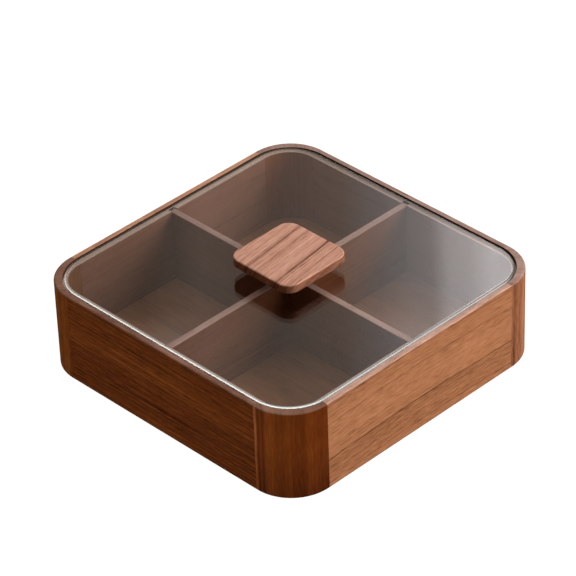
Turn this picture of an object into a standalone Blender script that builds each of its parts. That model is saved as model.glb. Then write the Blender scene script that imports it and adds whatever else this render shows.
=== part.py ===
"""A square dried fruit box in solid wood, with four compartments and a glass lid.

The wall is a ring of four side boards and four quarter-round corner blocks,
held together by loose tongues. A floor panel sits in a groove round the ring.
Two crossed slats drop into grooves at the middle of each board. The glass lid
rests on a ledge inside the rim and is lifted by a wooden knob that one screw
holds from below. Lengths are in metres, +Z is up, and the origin is the
middle of the face that the box stands on.
"""

import math

import bmesh
import bpy
from mathutils import Vector

# Clearances
TOUCH_GAP = 0.0003
CUT_OVERRUN = 0.004

# Wall ring
BOX_SIDE = 0.250
BOX_HEIGHT = 0.070
BOX_CORNER_RADIUS = 0.0335
WALL_THICKNESS = 0.010
SEAM_FROM_ARC = 0.001
TOP_EDGE_ROUND = 0.0013
BASE_EDGE_ROUND = 0.0010

# Ledge for the lid
RIM_WIDTH = 0.0044
LEDGE_DEPTH = 0.0040
RECESS_CORNER_RADIUS = 0.0330

# Floor panel and its groove
FLOOR_THICKNESS = 0.0050
FLOOR_GROOVE_DEPTH = 0.0040
FLOOR_GROOVE_HEIGHT_ABOVE_BASE = 0.0030
FLOOR_SIDE_PLAY = 0.0007

# Loose tongues between boards and corner blocks
TONGUE_THICKNESS = 0.0025
TONGUE_WIDTH = 0.0090
TONGUE_CLEAR_OF_FLOOR = 0.0040
TONGUE_CLEAR_OF_LEDGE = 0.0060
TONGUE_EDGE_CHAMFER = 0.0004

# Crossed slats
SLAT_THICKNESS = 0.0050
SLAT_BELOW_LEDGE = 0.0005
SLAT_IN_GROOVE = 0.0020
SLAT_END_PLAY = 0.0016
SLAT_EDGE_ROUND = 0.0004

# Glass lid
GLASS_THICKNESS = 0.0040
GLASS_SIDE_PLAY = 0.0015
GLASS_EDGE_ROUND = 0.0018
GLASS_HOLE_RADIUS = 0.0032

# Knob
PLATE_SIDE = 0.0600
PLATE_THICKNESS = 0.0070
PLATE_CORNER_RADIUS = 0.0100
PLATE_EDGE_ROUND = 0.0010
FINGER_GAP = 0.0073
STEM_RADIUS = 0.0120
STEM_EDGE_ROUND = 0.0008

# Knob fastening
SCREW_RADIUS = 0.0020
SCREW_HEAD_RADIUS = 0.0050
SCREW_HEAD_HEIGHT = 0.0022
SCREW_TIP_CHAMFER = 0.0006
SCREW_SOCKET_RADIUS = 0.00145
SCREW_SOCKET_DEPTH = 0.0013
SCREW_SOCKET_SIDES = 6
INSERT_RADIUS = 0.0035
INSERT_LENGTH = 0.0048
INSERT_EDGE_CHAMFER = 0.0004
WASHER_THICKNESS = 0.0010
WASHER_EDGE_CHAMFER = 0.00025
UPPER_WASHER_RADIUS = 0.0100
LOWER_WASHER_RADIUS = 0.0070
SCREW_HOLE_CLEARANCE = 0.0003
HEAD_RELIEF_CLEARANCE = 0.0020

# Facets: to a quarter turn of a corner, across an eased edge, and round a turned piece
ARC_SEGMENTS = 20
KNOB_ARC_SEGMENTS = 10
EDGE_SEGMENTS = 4
FINE_EDGE_SEGMENTS = 2
TURNED_STEPS = 40
DOME_STEPS = 5
SHARP_ANGLE = math.radians(35)
EASED_EDGE_ANGLE = math.radians(50)
MERGE_DISTANCE = 0.00001

# A round on both edges of a plate is kept within this share of its thickness
ROUND_LIMIT_SHARE = 0.46

# The ring's pieces, anticlockwise from the front
BOARD_NAMES = ("front_board", "right_board", "back_board", "left_board")
CORNER_NAMES = ("corner_front_right", "corner_back_right", "corner_back_left", "corner_front_left")

# Heights, from the face that the box stands on
LEDGE_HEIGHT = BOX_HEIGHT - LEDGE_DEPTH
FLOOR_BASE = FLOOR_GROOVE_HEIGHT_ABOVE_BASE + TOUCH_GAP
FLOOR_TOP = FLOOR_BASE + FLOOR_THICKNESS
FLOOR_GROOVE_TOP = FLOOR_TOP + TOUCH_GAP
SLAT_BASE = FLOOR_TOP + TOUCH_GAP
SLAT_TOP = LEDGE_HEIGHT - SLAT_BELOW_LEDGE
SLAT_CROSSING = (SLAT_BASE + SLAT_TOP) / 2
GLASS_BASE = LEDGE_HEIGHT + TOUCH_GAP
GLASS_TOP = GLASS_BASE + GLASS_THICKNESS
PLATE_BASE = GLASS_TOP + FINGER_GAP
UPPER_WASHER_BASE = GLASS_TOP + TOUCH_GAP
STEM_BASE = UPPER_WASHER_BASE + WASHER_THICKNESS + TOUCH_GAP
STEM_TOP = PLATE_BASE - TOUCH_GAP
LOWER_WASHER_BASE = GLASS_BASE - TOUCH_GAP - WASHER_THICKNESS
HEAD_TOP = LOWER_WASHER_BASE - TOUCH_GAP
HEAD_BASE = HEAD_TOP - SCREW_HEAD_HEIGHT
RELIEF_BASE = HEAD_BASE - HEAD_RELIEF_CLEARANCE
TONGUE_BASE = FLOOR_GROOVE_TOP + TONGUE_CLEAR_OF_FLOOR
TONGUE_TOP = LEDGE_HEIGHT - TONGUE_CLEAR_OF_LEDGE

# Distances from the middle of the box
OUTER_HALF = BOX_SIDE / 2
INNER_HALF = OUTER_HALF - WALL_THICKNESS
RECESS_HALF = OUTER_HALF - RIM_WIDTH
SEAM_HALF = OUTER_HALF - BOX_CORNER_RADIUS - SEAM_FROM_ARC
INNER_RADIUS = BOX_CORNER_RADIUS - WALL_THICKNESS
FLOOR_GROOVE_HALF = INNER_HALF + FLOOR_GROOVE_DEPTH
GLASS_HALF = RECESS_HALF - GLASS_SIDE_PLAY
SLAT_HALF = INNER_HALF + SLAT_IN_GROOVE
SLAT_GROOVE_HALF = SLAT_HALF + SLAT_END_PLAY
SLAT_GROOVE_WIDTH = SLAT_THICKNESS + 2 * TOUCH_GAP
WALL_MIDDLE = OUTER_HALF - WALL_THICKNESS / 2

WOOD = {"colour": (0.23, 0.095, 0.045), "roughness": 0.48, "metallic": 0.0}
SLAT_WOOD = {"colour": (0.33, 0.17, 0.11), "roughness": 0.52, "metallic": 0.0}
KNOB_WOOD = {"colour": (0.50, 0.25, 0.17), "roughness": 0.45, "metallic": 0.0}
GLASS = {"colour": (0.86, 0.93, 0.90), "roughness": 0.03, "metallic": 0.0}
SILICONE = {"colour": (0.75, 0.76, 0.74), "roughness": 0.60, "metallic": 0.0}
STEEL = {"colour": (0.62, 0.62, 0.60), "roughness": 0.30, "metallic": 1.0}
BRASS = {"colour": (0.72, 0.52, 0.22), "roughness": 0.35, "metallic": 1.0}


def clear_scene():
    for old in list(bpy.data.objects):
        bpy.data.objects.remove(old, do_unlink=True)


def make_collection(name):
    collection = bpy.data.collections.new(name)
    bpy.context.scene.collection.children.link(collection)
    return collection


def make_material(name, finish):
    """One material for one piece, with its colour, roughness and metallic value."""
    material = bpy.data.materials.new(name)
    material.use_nodes = True
    shader = material.node_tree.nodes["Principled BSDF"]
    shader.inputs["Base Color"].default_value = (*finish["colour"], 1.0)
    shader.inputs["Roughness"].default_value = finish["roughness"]
    shader.inputs["Metallic"].default_value = finish["metallic"]
    material.diffuse_color = (*finish["colour"], 1.0)
    return material


def mesh_object(name, bm, collection):
    """Turn a bmesh into an object, smooth except at its real edges."""
    bmesh.ops.recalc_face_normals(bm, faces=bm.faces)
    mesh = bpy.data.meshes.new(name)
    bm.to_mesh(mesh)
    bm.free()
    mesh.shade_smooth()
    mesh.set_sharp_from_angle(angle=SHARP_ANGLE)
    piece = bpy.data.objects.new(name, mesh)
    collection.objects.link(piece)
    return piece


def block_mesh(low, high):
    """A plain block between two corners."""
    bm = bmesh.new()
    bmesh.ops.create_cube(bm, size=1.0)
    low, high = Vector(low), Vector(high)
    bmesh.ops.scale(bm, vec=high - low, verts=bm.verts)
    bmesh.ops.translate(bm, vec=(low + high) / 2, verts=bm.verts)
    return bm


def rounded_slab_mesh(half_side, low, high, radius, segments):
    """A square slab about the Z axis, its four upright edges rounded to a radius."""
    bm = block_mesh((-half_side, -half_side, low), (half_side, half_side, high))
    upright = [e for e in bm.edges if abs(e.verts[0].co.z - e.verts[1].co.z) > (high - low) / 2]
    bmesh.ops.bevel(bm, geom=upright, offset=radius, segments=segments, profile=0.5, affect="EDGES")
    return bm


def cylinder_mesh(radius, low, high, sides):
    bm = bmesh.new()
    bmesh.ops.create_cone(bm, cap_ends=True, segments=sides, radius1=radius, radius2=radius, depth=high - low)
    bmesh.ops.translate(bm, vec=(0, 0, (low + high) / 2), verts=bm.verts)
    return bm


def cutter(name, bm):
    """A shape that only cuts others."""
    tool = mesh_object(name, bm, CUTTERS)
    tool.hide_render = True
    tool.display_type = "WIRE"
    return tool


def cut(piece, tool, operation="DIFFERENCE"):
    boolean = piece.modifiers.new(tool.name, "BOOLEAN")
    boolean.object = tool
    boolean.operation = operation
    boolean.solver = "EXACT"


def round_edges(piece, width, segments=EDGE_SEGMENTS):
    """Ease every edge that turns sharply, which leaves the facets of an arc alone."""
    bevel = piece.modifiers.new("eased edges", "BEVEL")
    bevel.width = width
    bevel.segments = segments
    bevel.limit_method = "ANGLE"
    bevel.angle_limit = EASED_EDGE_ANGLE


def finish_piece(piece, finish, parent=None):
    piece.data.materials.append(make_material(piece.name, finish))
    piece.parent = parent
    return piece


def turned_piece(name, profile, closed, location):
    """Turn an outline of (radius, height) points about the Z axis."""
    bm = bmesh.new()
    points = [bm.verts.new((radius, 0, height)) for radius, height in profile]
    for first, second in zip(points, points[1:]):
        bm.edges.new((first, second))
    if closed:
        bm.edges.new((points[-1], points[0]))
    mesh = bpy.data.meshes.new(name)
    bm.to_mesh(mesh)
    bm.free()
    piece = bpy.data.objects.new(name, mesh)
    piece.location = location
    BOX.objects.link(piece)
    screw = piece.modifiers.new("turning", "SCREW")
    screw.steps = TURNED_STEPS
    screw.render_steps = TURNED_STEPS
    screw.use_merge_vertices = True
    screw.merge_threshold = MERGE_DISTANCE
    screw.use_smooth_shade = True
    return piece


def ring_profile(inner_radius, outer_radius, height, chamfer):
    """The closed outline of a ring that stands on its own origin, with broken outer edges."""
    return [
        (inner_radius, height),
        (outer_radius - chamfer, height),
        (outer_radius, height - chamfer),
        (outer_radius, chamfer),
        (outer_radius - chamfer, 0),
        (inner_radius, 0),
    ]


def quarter_turns(x, y, count):
    """The point (x, y) after this many quarter turns about the Z axis."""
    for _ in range(count):
        x, y = -y, x
    return x, y


def region_between(name, first, second):
    """A cutter over the whole height, between two points in plan."""
    low = (min(first[0], second[0]), min(first[1], second[1]), -CUT_OVERRUN)
    high = (max(first[0], second[0]), max(first[1], second[1]), BOX_HEIGHT + CUT_OVERRUN)
    return cutter(name, block_mesh(low, high))


def make_wall_cutters():
    """The cuts that run round the whole ring."""
    pocket = cutter("inner_pocket", rounded_slab_mesh(
        INNER_HALF, -CUT_OVERRUN, BOX_HEIGHT + CUT_OVERRUN, INNER_RADIUS, ARC_SEGMENTS))
    groove = cutter("floor_groove", rounded_slab_mesh(
        FLOOR_GROOVE_HALF, FLOOR_GROOVE_HEIGHT_ABOVE_BASE, FLOOR_GROOVE_TOP,
        INNER_RADIUS + FLOOR_GROOVE_DEPTH, ARC_SEGMENTS))
    recess = cutter("lid_recess", rounded_slab_mesh(
        RECESS_HALF, LEDGE_HEIGHT, BOX_HEIGHT + CUT_OVERRUN, RECESS_CORNER_RADIUS, ARC_SEGMENTS))
    return [pocket, groove, recess]


def make_slat_groove_cutters():
    """One groove across the box each way, open at the top, for the ends of the slats."""
    along_y = cutter("slat_groove_front_to_back", block_mesh(
        (-SLAT_GROOVE_WIDTH / 2, -SLAT_GROOVE_HALF, FLOOR_BASE),
        (SLAT_GROOVE_WIDTH / 2, SLAT_GROOVE_HALF, BOX_HEIGHT + CUT_OVERRUN)))
    along_x = cutter("slat_groove_left_to_right", block_mesh(
        (-SLAT_GROOVE_HALF, -SLAT_GROOVE_WIDTH / 2, FLOOR_BASE),
        (SLAT_GROOVE_HALF, SLAT_GROOVE_WIDTH / 2, BOX_HEIGHT + CUT_OVERRUN)))
    return along_y, along_x


def tongue_block(turns, side, grow):
    """The block of one tongue, or of its slot when it grows by the touching gap.

    It straddles the seam at one end of the front board, then is turned with it.
    """
    along = side * SEAM_HALF
    first = quarter_turns(along - TONGUE_WIDTH / 2 - grow, -WALL_MIDDLE - TONGUE_THICKNESS / 2 - grow, turns)
    second = quarter_turns(along + TONGUE_WIDTH / 2 + grow, -WALL_MIDDLE + TONGUE_THICKNESS / 2 + grow, turns)
    low = (min(first[0], second[0]), min(first[1], second[1]), TONGUE_BASE - grow)
    high = (max(first[0], second[0]), max(first[1], second[1]), TONGUE_TOP + grow)
    return block_mesh(low, high)


def make_tongues():
    """Eight hidden tongues, and the cutters of their slots, by board and end."""
    slots = {}
    for turns, board in enumerate(BOARD_NAMES):
        for side, end in ((-1, "first_end"), (1, "second_end")):
            tongue = mesh_object(f"tongue_{board}_{end}", tongue_block(turns, side, 0), BOX)
            round_edges(tongue, TONGUE_EDGE_CHAMFER, segments=1)
            finish_piece(tongue, WOOD)
            slots[turns, side] = cutter(f"slot_{board}_{end}", tongue_block(turns, side, TOUCH_GAP))
    return slots


def wall_piece(name, region, shared_cuts):
    """One piece of the ring: the eased outer block, cut to its share of the wall."""
    piece = mesh_object(name, rounded_slab_mesh(
        OUTER_HALF, 0, BOX_HEIGHT, BOX_CORNER_RADIUS, ARC_SEGMENTS), BOX)
    weights = piece.data.attributes.new("bevel_weight_edge", "FLOAT", "EDGE")
    for edge in piece.data.edges:
        ends = [piece.data.vertices[index].co for index in edge.vertices]
        if all(abs(end.z - BOX_HEIGHT) < TOUCH_GAP for end in ends):
            weights.data[edge.index].value = 1.0
        elif all(abs(end.z) < TOUCH_GAP for end in ends):
            weights.data[edge.index].value = BASE_EDGE_ROUND / TOP_EDGE_ROUND
    bevel = piece.modifiers.new("eased edges", "BEVEL")
    bevel.width = TOP_EDGE_ROUND
    bevel.segments = EDGE_SEGMENTS
    bevel.limit_method = "WEIGHT"
    for tool in shared_cuts:
        cut(piece, tool)
    cut(piece, region, "INTERSECT")
    return piece


def make_wall():
    """Four boards and four corner blocks, each set back half a gap from its seams."""
    shared_cuts = make_wall_cutters()
    groove_along_y, groove_along_x = make_slat_groove_cutters()
    slots = make_tongues()
    seam_back = TOUCH_GAP / 2
    past_outside = OUTER_HALF + CUT_OVERRUN
    for turns, (board, corner) in enumerate(zip(BOARD_NAMES, CORNER_NAMES)):
        region = region_between(
            f"reach_{board}",
            quarter_turns(-SEAM_HALF + seam_back, -past_outside, turns),
            quarter_turns(SEAM_HALF - seam_back, 0, turns))
        piece = wall_piece(board, region, shared_cuts)
        cut(piece, groove_along_x if turns % 2 else groove_along_y)
        cut(piece, slots[turns, -1])
        cut(piece, slots[turns, 1])
        finish_piece(piece, WOOD)

        region = region_between(
            f"reach_{corner}",
            quarter_turns(SEAM_HALF + seam_back, -past_outside, turns),
            quarter_turns(past_outside, -SEAM_HALF - seam_back, turns))
        piece = wall_piece(corner, region, shared_cuts)
        cut(piece, slots[turns, 1])
        cut(piece, slots[(turns + 1) % len(BOARD_NAMES), -1])
        finish_piece(piece, WOOD)


def make_floor():
    panel = mesh_object("floor_panel", rounded_slab_mesh(
        FLOOR_GROOVE_HALF - FLOOR_SIDE_PLAY, FLOOR_BASE, FLOOR_TOP,
        INNER_RADIUS + FLOOR_GROOVE_DEPTH - FLOOR_SIDE_PLAY, ARC_SEGMENTS), BOX)
    finish_piece(panel, WOOD)


def make_slats():
    """Two slats, halved across each other: one is open at its top, one at its base."""
    height = SLAT_TOP - SLAT_BASE
    crossing = SLAT_CROSSING - SLAT_BASE
    relief = cutter("screw_head_relief", cylinder_mesh(
        SCREW_HEAD_RADIUS + HEAD_RELIEF_CLEARANCE, RELIEF_BASE, SLAT_TOP + CUT_OVERRUN, TURNED_STEPS))
    for name, lift, along_x, notch_low, notch_high in (
            ("lower_slat", LOWER_SLAT_LIFT, True, crossing - TOUCH_GAP / 2, height + CUT_OVERRUN),
            ("upper_slat", UPPER_SLAT_LIFT, False, -CUT_OVERRUN, crossing + TOUCH_GAP / 2)):
        half_x, half_y = (SLAT_HALF, SLAT_THICKNESS / 2) if along_x else (SLAT_THICKNESS / 2, SLAT_HALF)
        slat = mesh_object(name, block_mesh((-half_x, -half_y, 0), (half_x, half_y, height)), BOX)
        notch_half = SLAT_GROOVE_WIDTH / 2
        notch_x = notch_half if along_x else half_x + CUT_OVERRUN
        notch_y = half_y + CUT_OVERRUN if along_x else notch_half
        notch = cutter(f"{name}_notch", block_mesh(
            (-notch_x, -notch_y, SLAT_BASE + notch_low), (notch_x, notch_y, SLAT_BASE + notch_high)))
        round_edges(slat, SLAT_EDGE_ROUND, FINE_EDGE_SEGMENTS)
        cut(slat, notch)
        cut(slat, relief)
        finish_piece(slat, SLAT_WOOD, lift)


def lid_height(height):
    """A height of the box, measured from the lid's own origin."""
    return height - GLASS_BASE


def make_glass():
    glass = mesh_object("glass_lid", rounded_slab_mesh(
        GLASS_HALF, 0, GLASS_THICKNESS, RECESS_CORNER_RADIUS - GLASS_SIDE_PLAY, ARC_SEGMENTS), BOX)
    round_edges(glass, min(GLASS_EDGE_ROUND, GLASS_THICKNESS * ROUND_LIMIT_SHARE))
    cut(glass, cutter("screw_hole_in_glass", cylinder_mesh(
        GLASS_HOLE_RADIUS, GLASS_BASE - CUT_OVERRUN, GLASS_TOP + CUT_OVERRUN, TURNED_STEPS)))
    finish_piece(glass, GLASS, LID_LIFT)


def make_knob():
    """The grip plate on its stem, with the insert that the screw goes into."""
    plate = mesh_object("knob_plate", rounded_slab_mesh(
        PLATE_SIDE / 2, 0, PLATE_THICKNESS, PLATE_CORNER_RADIUS, KNOB_ARC_SEGMENTS), BOX)
    plate.location.z = lid_height(PLATE_BASE)
    round_edges(plate, min(PLATE_EDGE_ROUND, PLATE_THICKNESS * ROUND_LIMIT_SHARE))
    cut(plate, cutter("insert_hole", cylinder_mesh(
        INSERT_RADIUS + TOUCH_GAP, PLATE_BASE - CUT_OVERRUN,
        PLATE_BASE + INSERT_LENGTH + 2 * TOUCH_GAP, TURNED_STEPS)))
    finish_piece(plate, KNOB_WOOD, LID_LIFT)

    stem = turned_piece("knob_stem", ring_profile(
        SCREW_RADIUS + SCREW_HOLE_CLEARANCE, STEM_RADIUS, STEM_TOP - STEM_BASE, STEM_EDGE_ROUND),
        True, (0, 0, lid_height(STEM_BASE)))
    finish_piece(stem, KNOB_WOOD, LID_LIFT)

    insert = turned_piece("threaded_insert", ring_profile(
        SCREW_RADIUS + SCREW_HOLE_CLEARANCE, INSERT_RADIUS, INSERT_LENGTH, INSERT_EDGE_CHAMFER),
        True, (0, 0, lid_height(PLATE_BASE + TOUCH_GAP)))
    finish_piece(insert, BRASS, LID_LIFT)


def make_fastening():
    """The soft washers each side of the glass, and the screw through them."""
    for name, radius, base in (
            ("upper_washer", UPPER_WASHER_RADIUS, UPPER_WASHER_BASE),
            ("lower_washer", LOWER_WASHER_RADIUS, LOWER_WASHER_BASE)):
        washer = turned_piece(name, ring_profile(
            SCREW_RADIUS + SCREW_HOLE_CLEARANCE, radius, WASHER_THICKNESS, WASHER_EDGE_CHAMFER),
            True, (0, 0, lid_height(base)))
        finish_piece(washer, SILICONE, LID_LIFT)

    shank_length = PLATE_BASE + INSERT_LENGTH - HEAD_TOP
    dome = []
    for index in range(DOME_STEPS):
        angle = math.pi / 2 * index / DOME_STEPS
        dome.append((SCREW_HEAD_RADIUS * math.cos(angle), -SCREW_HEAD_HEIGHT * math.sin(angle)))
    dome.append((0, -SCREW_HEAD_HEIGHT))
    profile = [
        (0, shank_length),
        (SCREW_RADIUS - SCREW_TIP_CHAMFER, shank_length),
        (SCREW_RADIUS, shank_length - SCREW_TIP_CHAMFER),
        (SCREW_RADIUS, 0),
    ] + dome
    screw = turned_piece("knob_screw", profile, False, (0, 0, lid_height(HEAD_TOP)))
    cut(screw, cutter("hex_socket", cylinder_mesh(
        SCREW_SOCKET_RADIUS, HEAD_BASE - CUT_OVERRUN, HEAD_BASE + SCREW_SOCKET_DEPTH, SCREW_SOCKET_SIDES)))
    finish_piece(screw, STEEL, LID_LIFT)


def make_lift(name, height):
    """An empty on the upright axis that a lifting piece slides along."""
    empty = bpy.data.objects.new(name, None)
    empty.location = (0, 0, height)
    empty.empty_display_size = PLATE_SIDE
    BOX.objects.link(empty)
    return empty


clear_scene()
BOX = make_collection("dried_fruit_box")
CUTTERS = make_collection("cutters")
LOWER_SLAT_LIFT = make_lift("lower_slat_lift", SLAT_BASE)
UPPER_SLAT_LIFT = make_lift("upper_slat_lift", SLAT_BASE)
LID_LIFT = make_lift("lid_lift", GLASS_BASE)

make_wall()
make_floor()
make_slats()
make_glass()
make_knob()
make_fastening()
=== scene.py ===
# %% [markdown]
# # A walnut box with a glass lid
#
# This notebook dresses a square wooden box for dried fruit. The real box is a ring of four
# boards and four rounded corner blocks, a floor let into a groove, two slats that cross inside,
# and a glass lid with a wooden knob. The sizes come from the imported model, which is loaded
# first and never changed. Its pieces are then modelled again, finer, in the same place. Only
# the hidden tongues and the brass insert keep the shapes that they were packed with.

import math
from contextlib import contextmanager

import bmesh
import bpy
from mathutils import Matrix, Vector


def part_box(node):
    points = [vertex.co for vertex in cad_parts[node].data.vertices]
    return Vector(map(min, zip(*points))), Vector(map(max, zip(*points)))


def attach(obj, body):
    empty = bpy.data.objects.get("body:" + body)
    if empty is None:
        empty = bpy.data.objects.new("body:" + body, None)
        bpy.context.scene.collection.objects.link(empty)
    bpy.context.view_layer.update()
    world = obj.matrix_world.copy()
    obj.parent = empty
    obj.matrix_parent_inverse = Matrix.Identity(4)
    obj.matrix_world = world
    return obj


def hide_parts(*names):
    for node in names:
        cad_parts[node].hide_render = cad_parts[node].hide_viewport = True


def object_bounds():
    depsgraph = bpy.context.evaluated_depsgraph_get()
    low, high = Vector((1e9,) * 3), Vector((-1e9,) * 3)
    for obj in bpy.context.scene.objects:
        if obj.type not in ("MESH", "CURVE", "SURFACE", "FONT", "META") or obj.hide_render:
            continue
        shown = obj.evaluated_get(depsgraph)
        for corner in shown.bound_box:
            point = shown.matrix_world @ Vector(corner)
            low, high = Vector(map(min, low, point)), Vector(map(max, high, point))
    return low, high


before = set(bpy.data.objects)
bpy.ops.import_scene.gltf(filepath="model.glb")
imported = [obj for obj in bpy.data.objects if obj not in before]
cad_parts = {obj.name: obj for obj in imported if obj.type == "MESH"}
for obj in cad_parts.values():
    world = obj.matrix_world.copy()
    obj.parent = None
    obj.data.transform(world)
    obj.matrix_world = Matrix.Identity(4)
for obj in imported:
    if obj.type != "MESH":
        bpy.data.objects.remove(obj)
cad_low, cad_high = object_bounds()
size = cad_high - cad_low
print("box", [round(1000 * length, 1) for length in size], "mm, with its knob")

# %% [markdown]
# ## The camera
#
# A product photograph of this kind is taken with a long lens from well back, so that opposite
# sides of the box stay nearly parallel. The angles below were found by matching the box's
# edges. A camera in Blender looks down its own -Z axis, so it is tipped up from looking straight
# down, turned about the upright axis, and rolled a little at the end.

# %% Place the camera
IMAGE_SIDE = 576
SENSOR_WIDTH = 36
FOCAL_PIXELS = 3332.2
CAMERA_YAW = math.radians(-43.915)
CAMERA_PITCH = math.radians(35.349)
CAMERA_ROLL = math.radians(-2.125)
CAMERA_DISTANCE = 2.3396
CAMERA_SHIFT = (-0.0030, 0.0453)

camera_data = bpy.data.cameras.new("product_camera")
camera_data.sensor_width = SENSOR_WIDTH
camera_data.lens = FOCAL_PIXELS * SENSOR_WIDTH / IMAGE_SIDE
camera = bpy.data.objects.new("product_camera", camera_data)
bpy.context.scene.collection.objects.link(camera)
turn = (Matrix.Rotation(CAMERA_YAW, 4, "Z") @ Matrix.Rotation(math.pi / 2 - CAMERA_PITCH, 4, "X")
        @ Matrix.Rotation(CAMERA_ROLL, 4, "Z"))
place = Matrix.Translation((*CAMERA_SHIFT, CAMERA_DISTANCE))
camera.matrix_world = turn @ place
bpy.context.scene.camera = camera
print("camera", [round(value, 3) for value in camera.matrix_world.translation],
      "lens", round(camera_data.lens, 1))

# %% [markdown]
# ## A few habits of the hand
#
# Modelling by operator is done in small steps: deselect everything, make one object active, go
# into edit mode, pick edges or faces, and run a tool on them. The helpers below are those
# steps. They pick by place, so a later change of size still finds the same edges.

# %% Steps that every piece uses
TOUCH_GAP = 0.0003
CUT_OVERRUN = 0.004
NEAR = 0.00001


def deselect():
    bpy.ops.object.select_all(action="DESELECT")


def take(piece):
    """Make one object the only selected and active one."""
    deselect()
    piece.select_set(True)
    bpy.context.view_layer.objects.active = piece


@contextmanager
def editing(piece):
    take(piece)
    bpy.ops.object.mode_set(mode="EDIT")
    yield
    bpy.ops.object.mode_set(mode="OBJECT")


def pick(kind, wanted):
    """In edit mode, select the edges or faces whose corners pass a test, and nothing else."""
    bpy.ops.mesh.select_mode(type=kind)
    bpy.ops.mesh.select_all(action="DESELECT")
    mesh = bpy.context.edit_object.data
    bm = bmesh.from_edit_mesh(mesh)
    for part in (bm.edges if kind == "EDGE" else bm.faces):
        if wanted([corner.co for corner in part.verts]):
            part.select_set(True)
    bm.select_flush_mode()
    bmesh.update_edit_mesh(mesh)


def round_edges(wanted, radius, segments):
    """In edit mode, round the edges whose corners pass a test."""
    pick("EDGE", wanted)
    bpy.ops.mesh.bevel(offset=radius, segments=segments, affect="EDGES")


def inset_faces(wanted, thickness):
    """In edit mode, inset the faces whose corners pass a test, and leave the inner ones picked."""
    pick("FACE", wanted)
    bpy.ops.mesh.inset(thickness=thickness)


def slice_through(point, normal, **options):
    """In edit mode, cut the whole piece with a plane."""
    bpy.ops.mesh.select_all(action="SELECT")
    bpy.ops.mesh.bisect(plane_co=point, plane_no=normal, **options)


def apply_to(piece, modifier):
    take(piece)
    bpy.ops.object.modifier_apply(modifier=modifier.name)


def settle(name):
    """Name the object just added, and write its place, turn and scale into its mesh."""
    added = bpy.context.object
    added.name = added.data.name = name
    bpy.ops.object.transform_apply(location=True, rotation=True, scale=True)
    return added


def add_block(name, low, high):
    """A block between two corners."""
    deselect()
    low, high = Vector(low), Vector(high)
    bpy.ops.mesh.primitive_cube_add(size=1, location=(low + high) / 2, scale=high - low)
    return settle(name)


def add_disc(name, radius, low, high, sides):
    """An upright cylinder on the box's middle axis."""
    deselect()
    bpy.ops.mesh.primitive_cylinder_add(
        vertices=sides, radius=radius, depth=high - low, location=(0, 0, (low + high) / 2))
    return settle(name)


def upright(corners):
    return len(corners) == 2 and abs(corners[0].z - corners[1].z) > NEAR


def on_rim(corners):
    """Edges that aren't upright, which on a slab or a disc are those of its two rims."""
    return not upright(corners)


def level_at(height):
    """A test for edges or faces that lie flat at this height."""
    return lambda corners: all(abs(corner.z - height) < NEAR for corner in corners)


def cut(piece, tool):
    """Take the tool's shape out of a piece, and throw the tool away."""
    boolean = piece.modifiers.new("cut", "BOOLEAN")
    boolean.object = tool
    boolean.solver = "EXACT"
    apply_to(piece, boolean)
    bpy.data.objects.remove(tool, do_unlink=True)


print("helpers ready; touching pieces are", TOUCH_GAP * 1000, "mm apart")

# %% [markdown]
# ## Easing and shading
#
# No edge on real joinery is truly sharp: a light pass of sandpaper leaves a tiny round that
# catches the light. A Bevel modifier limited by angle does the same to every sharp edge at
# once. Weighted normals then keep the big faces flat while the rounds stay smooth.

# %% Ease the edges and shade a piece
SMOOTH_ANGLE = math.radians(32)
EASE_SEGMENTS = 3
CORNER_SEGMENTS = 40


def sand(piece, ease):
    """Round the sharp edges a little, then shade the piece smooth with flat faces."""
    if ease:
        bevel = piece.modifiers.new("eased edges", "BEVEL")
        bevel.width = ease
        bevel.segments = EASE_SEGMENTS
        bevel.limit_method = "ANGLE"
        bevel.angle_limit = SMOOTH_ANGLE
        apply_to(piece, bevel)
    take(piece)
    bpy.ops.object.shade_smooth_by_angle(angle=SMOOTH_ANGLE)
    weighted = piece.modifiers.new("flat faces", "WEIGHTED_NORMAL")
    weighted.keep_sharp = True
    apply_to(piece, weighted)
    return piece


def rounded_slab(name, half, low, high, radius):
    """A square slab about the middle axis, with its four upright edges rounded."""
    slab = add_block(name, (-half, -half, low), (half, half, high))
    with editing(slab):
        round_edges(upright, radius, CORNER_SEGMENTS)
    return slab


print("smooth below", round(math.degrees(SMOOTH_ANGLE)), "degrees")

# %% [markdown]
# ## The wall ring
#
# The real ring is glued up from eight pieces and sanded flush, so its outside is one smooth
# surface with fine seams. It could be made piece by piece, but the seams would then never line
# up as well. Here the whole ring is shaped first, like a glued blank: a block with rounded
# corners, an eased rim, and a pocket made by insetting the top and the bottom face and bridging
# them. The recess for the lid, the groove for the floor and the grooves for the slats are cut
# after that, and last the blank is sawn into its eight pieces.

# %% Shape the ring
EDGE_SEGMENTS = 6
TOP_EDGE_ROUND = 0.0013
BASE_EDGE_ROUND = 0.0010
CORNER_RADIUS = 0.0335
WALL_THICKNESS = 0.010
RIM_WIDTH = 0.0044
RECESS_CORNER_RADIUS = 0.0330

outer_half = size.x / 2
wall_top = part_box("front_board")[1].z
inner_half = outer_half - WALL_THICKNESS
glass_low, glass_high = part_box("glass_lid")
floor_low, floor_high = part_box("floor_panel")
ledge = glass_low.z - TOUCH_GAP

ring = rounded_slab("ring", outer_half, 0, wall_top, CORNER_RADIUS)
with editing(ring):
    round_edges(level_at(wall_top), TOP_EDGE_ROUND, EDGE_SEGMENTS)
    round_edges(level_at(0), BASE_EDGE_ROUND, EDGE_SEGMENTS)
    inset_faces(level_at(wall_top), WALL_THICKNESS - TOP_EDGE_ROUND)
    inset_faces(level_at(0), WALL_THICKNESS - BASE_EDGE_ROUND)


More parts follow.
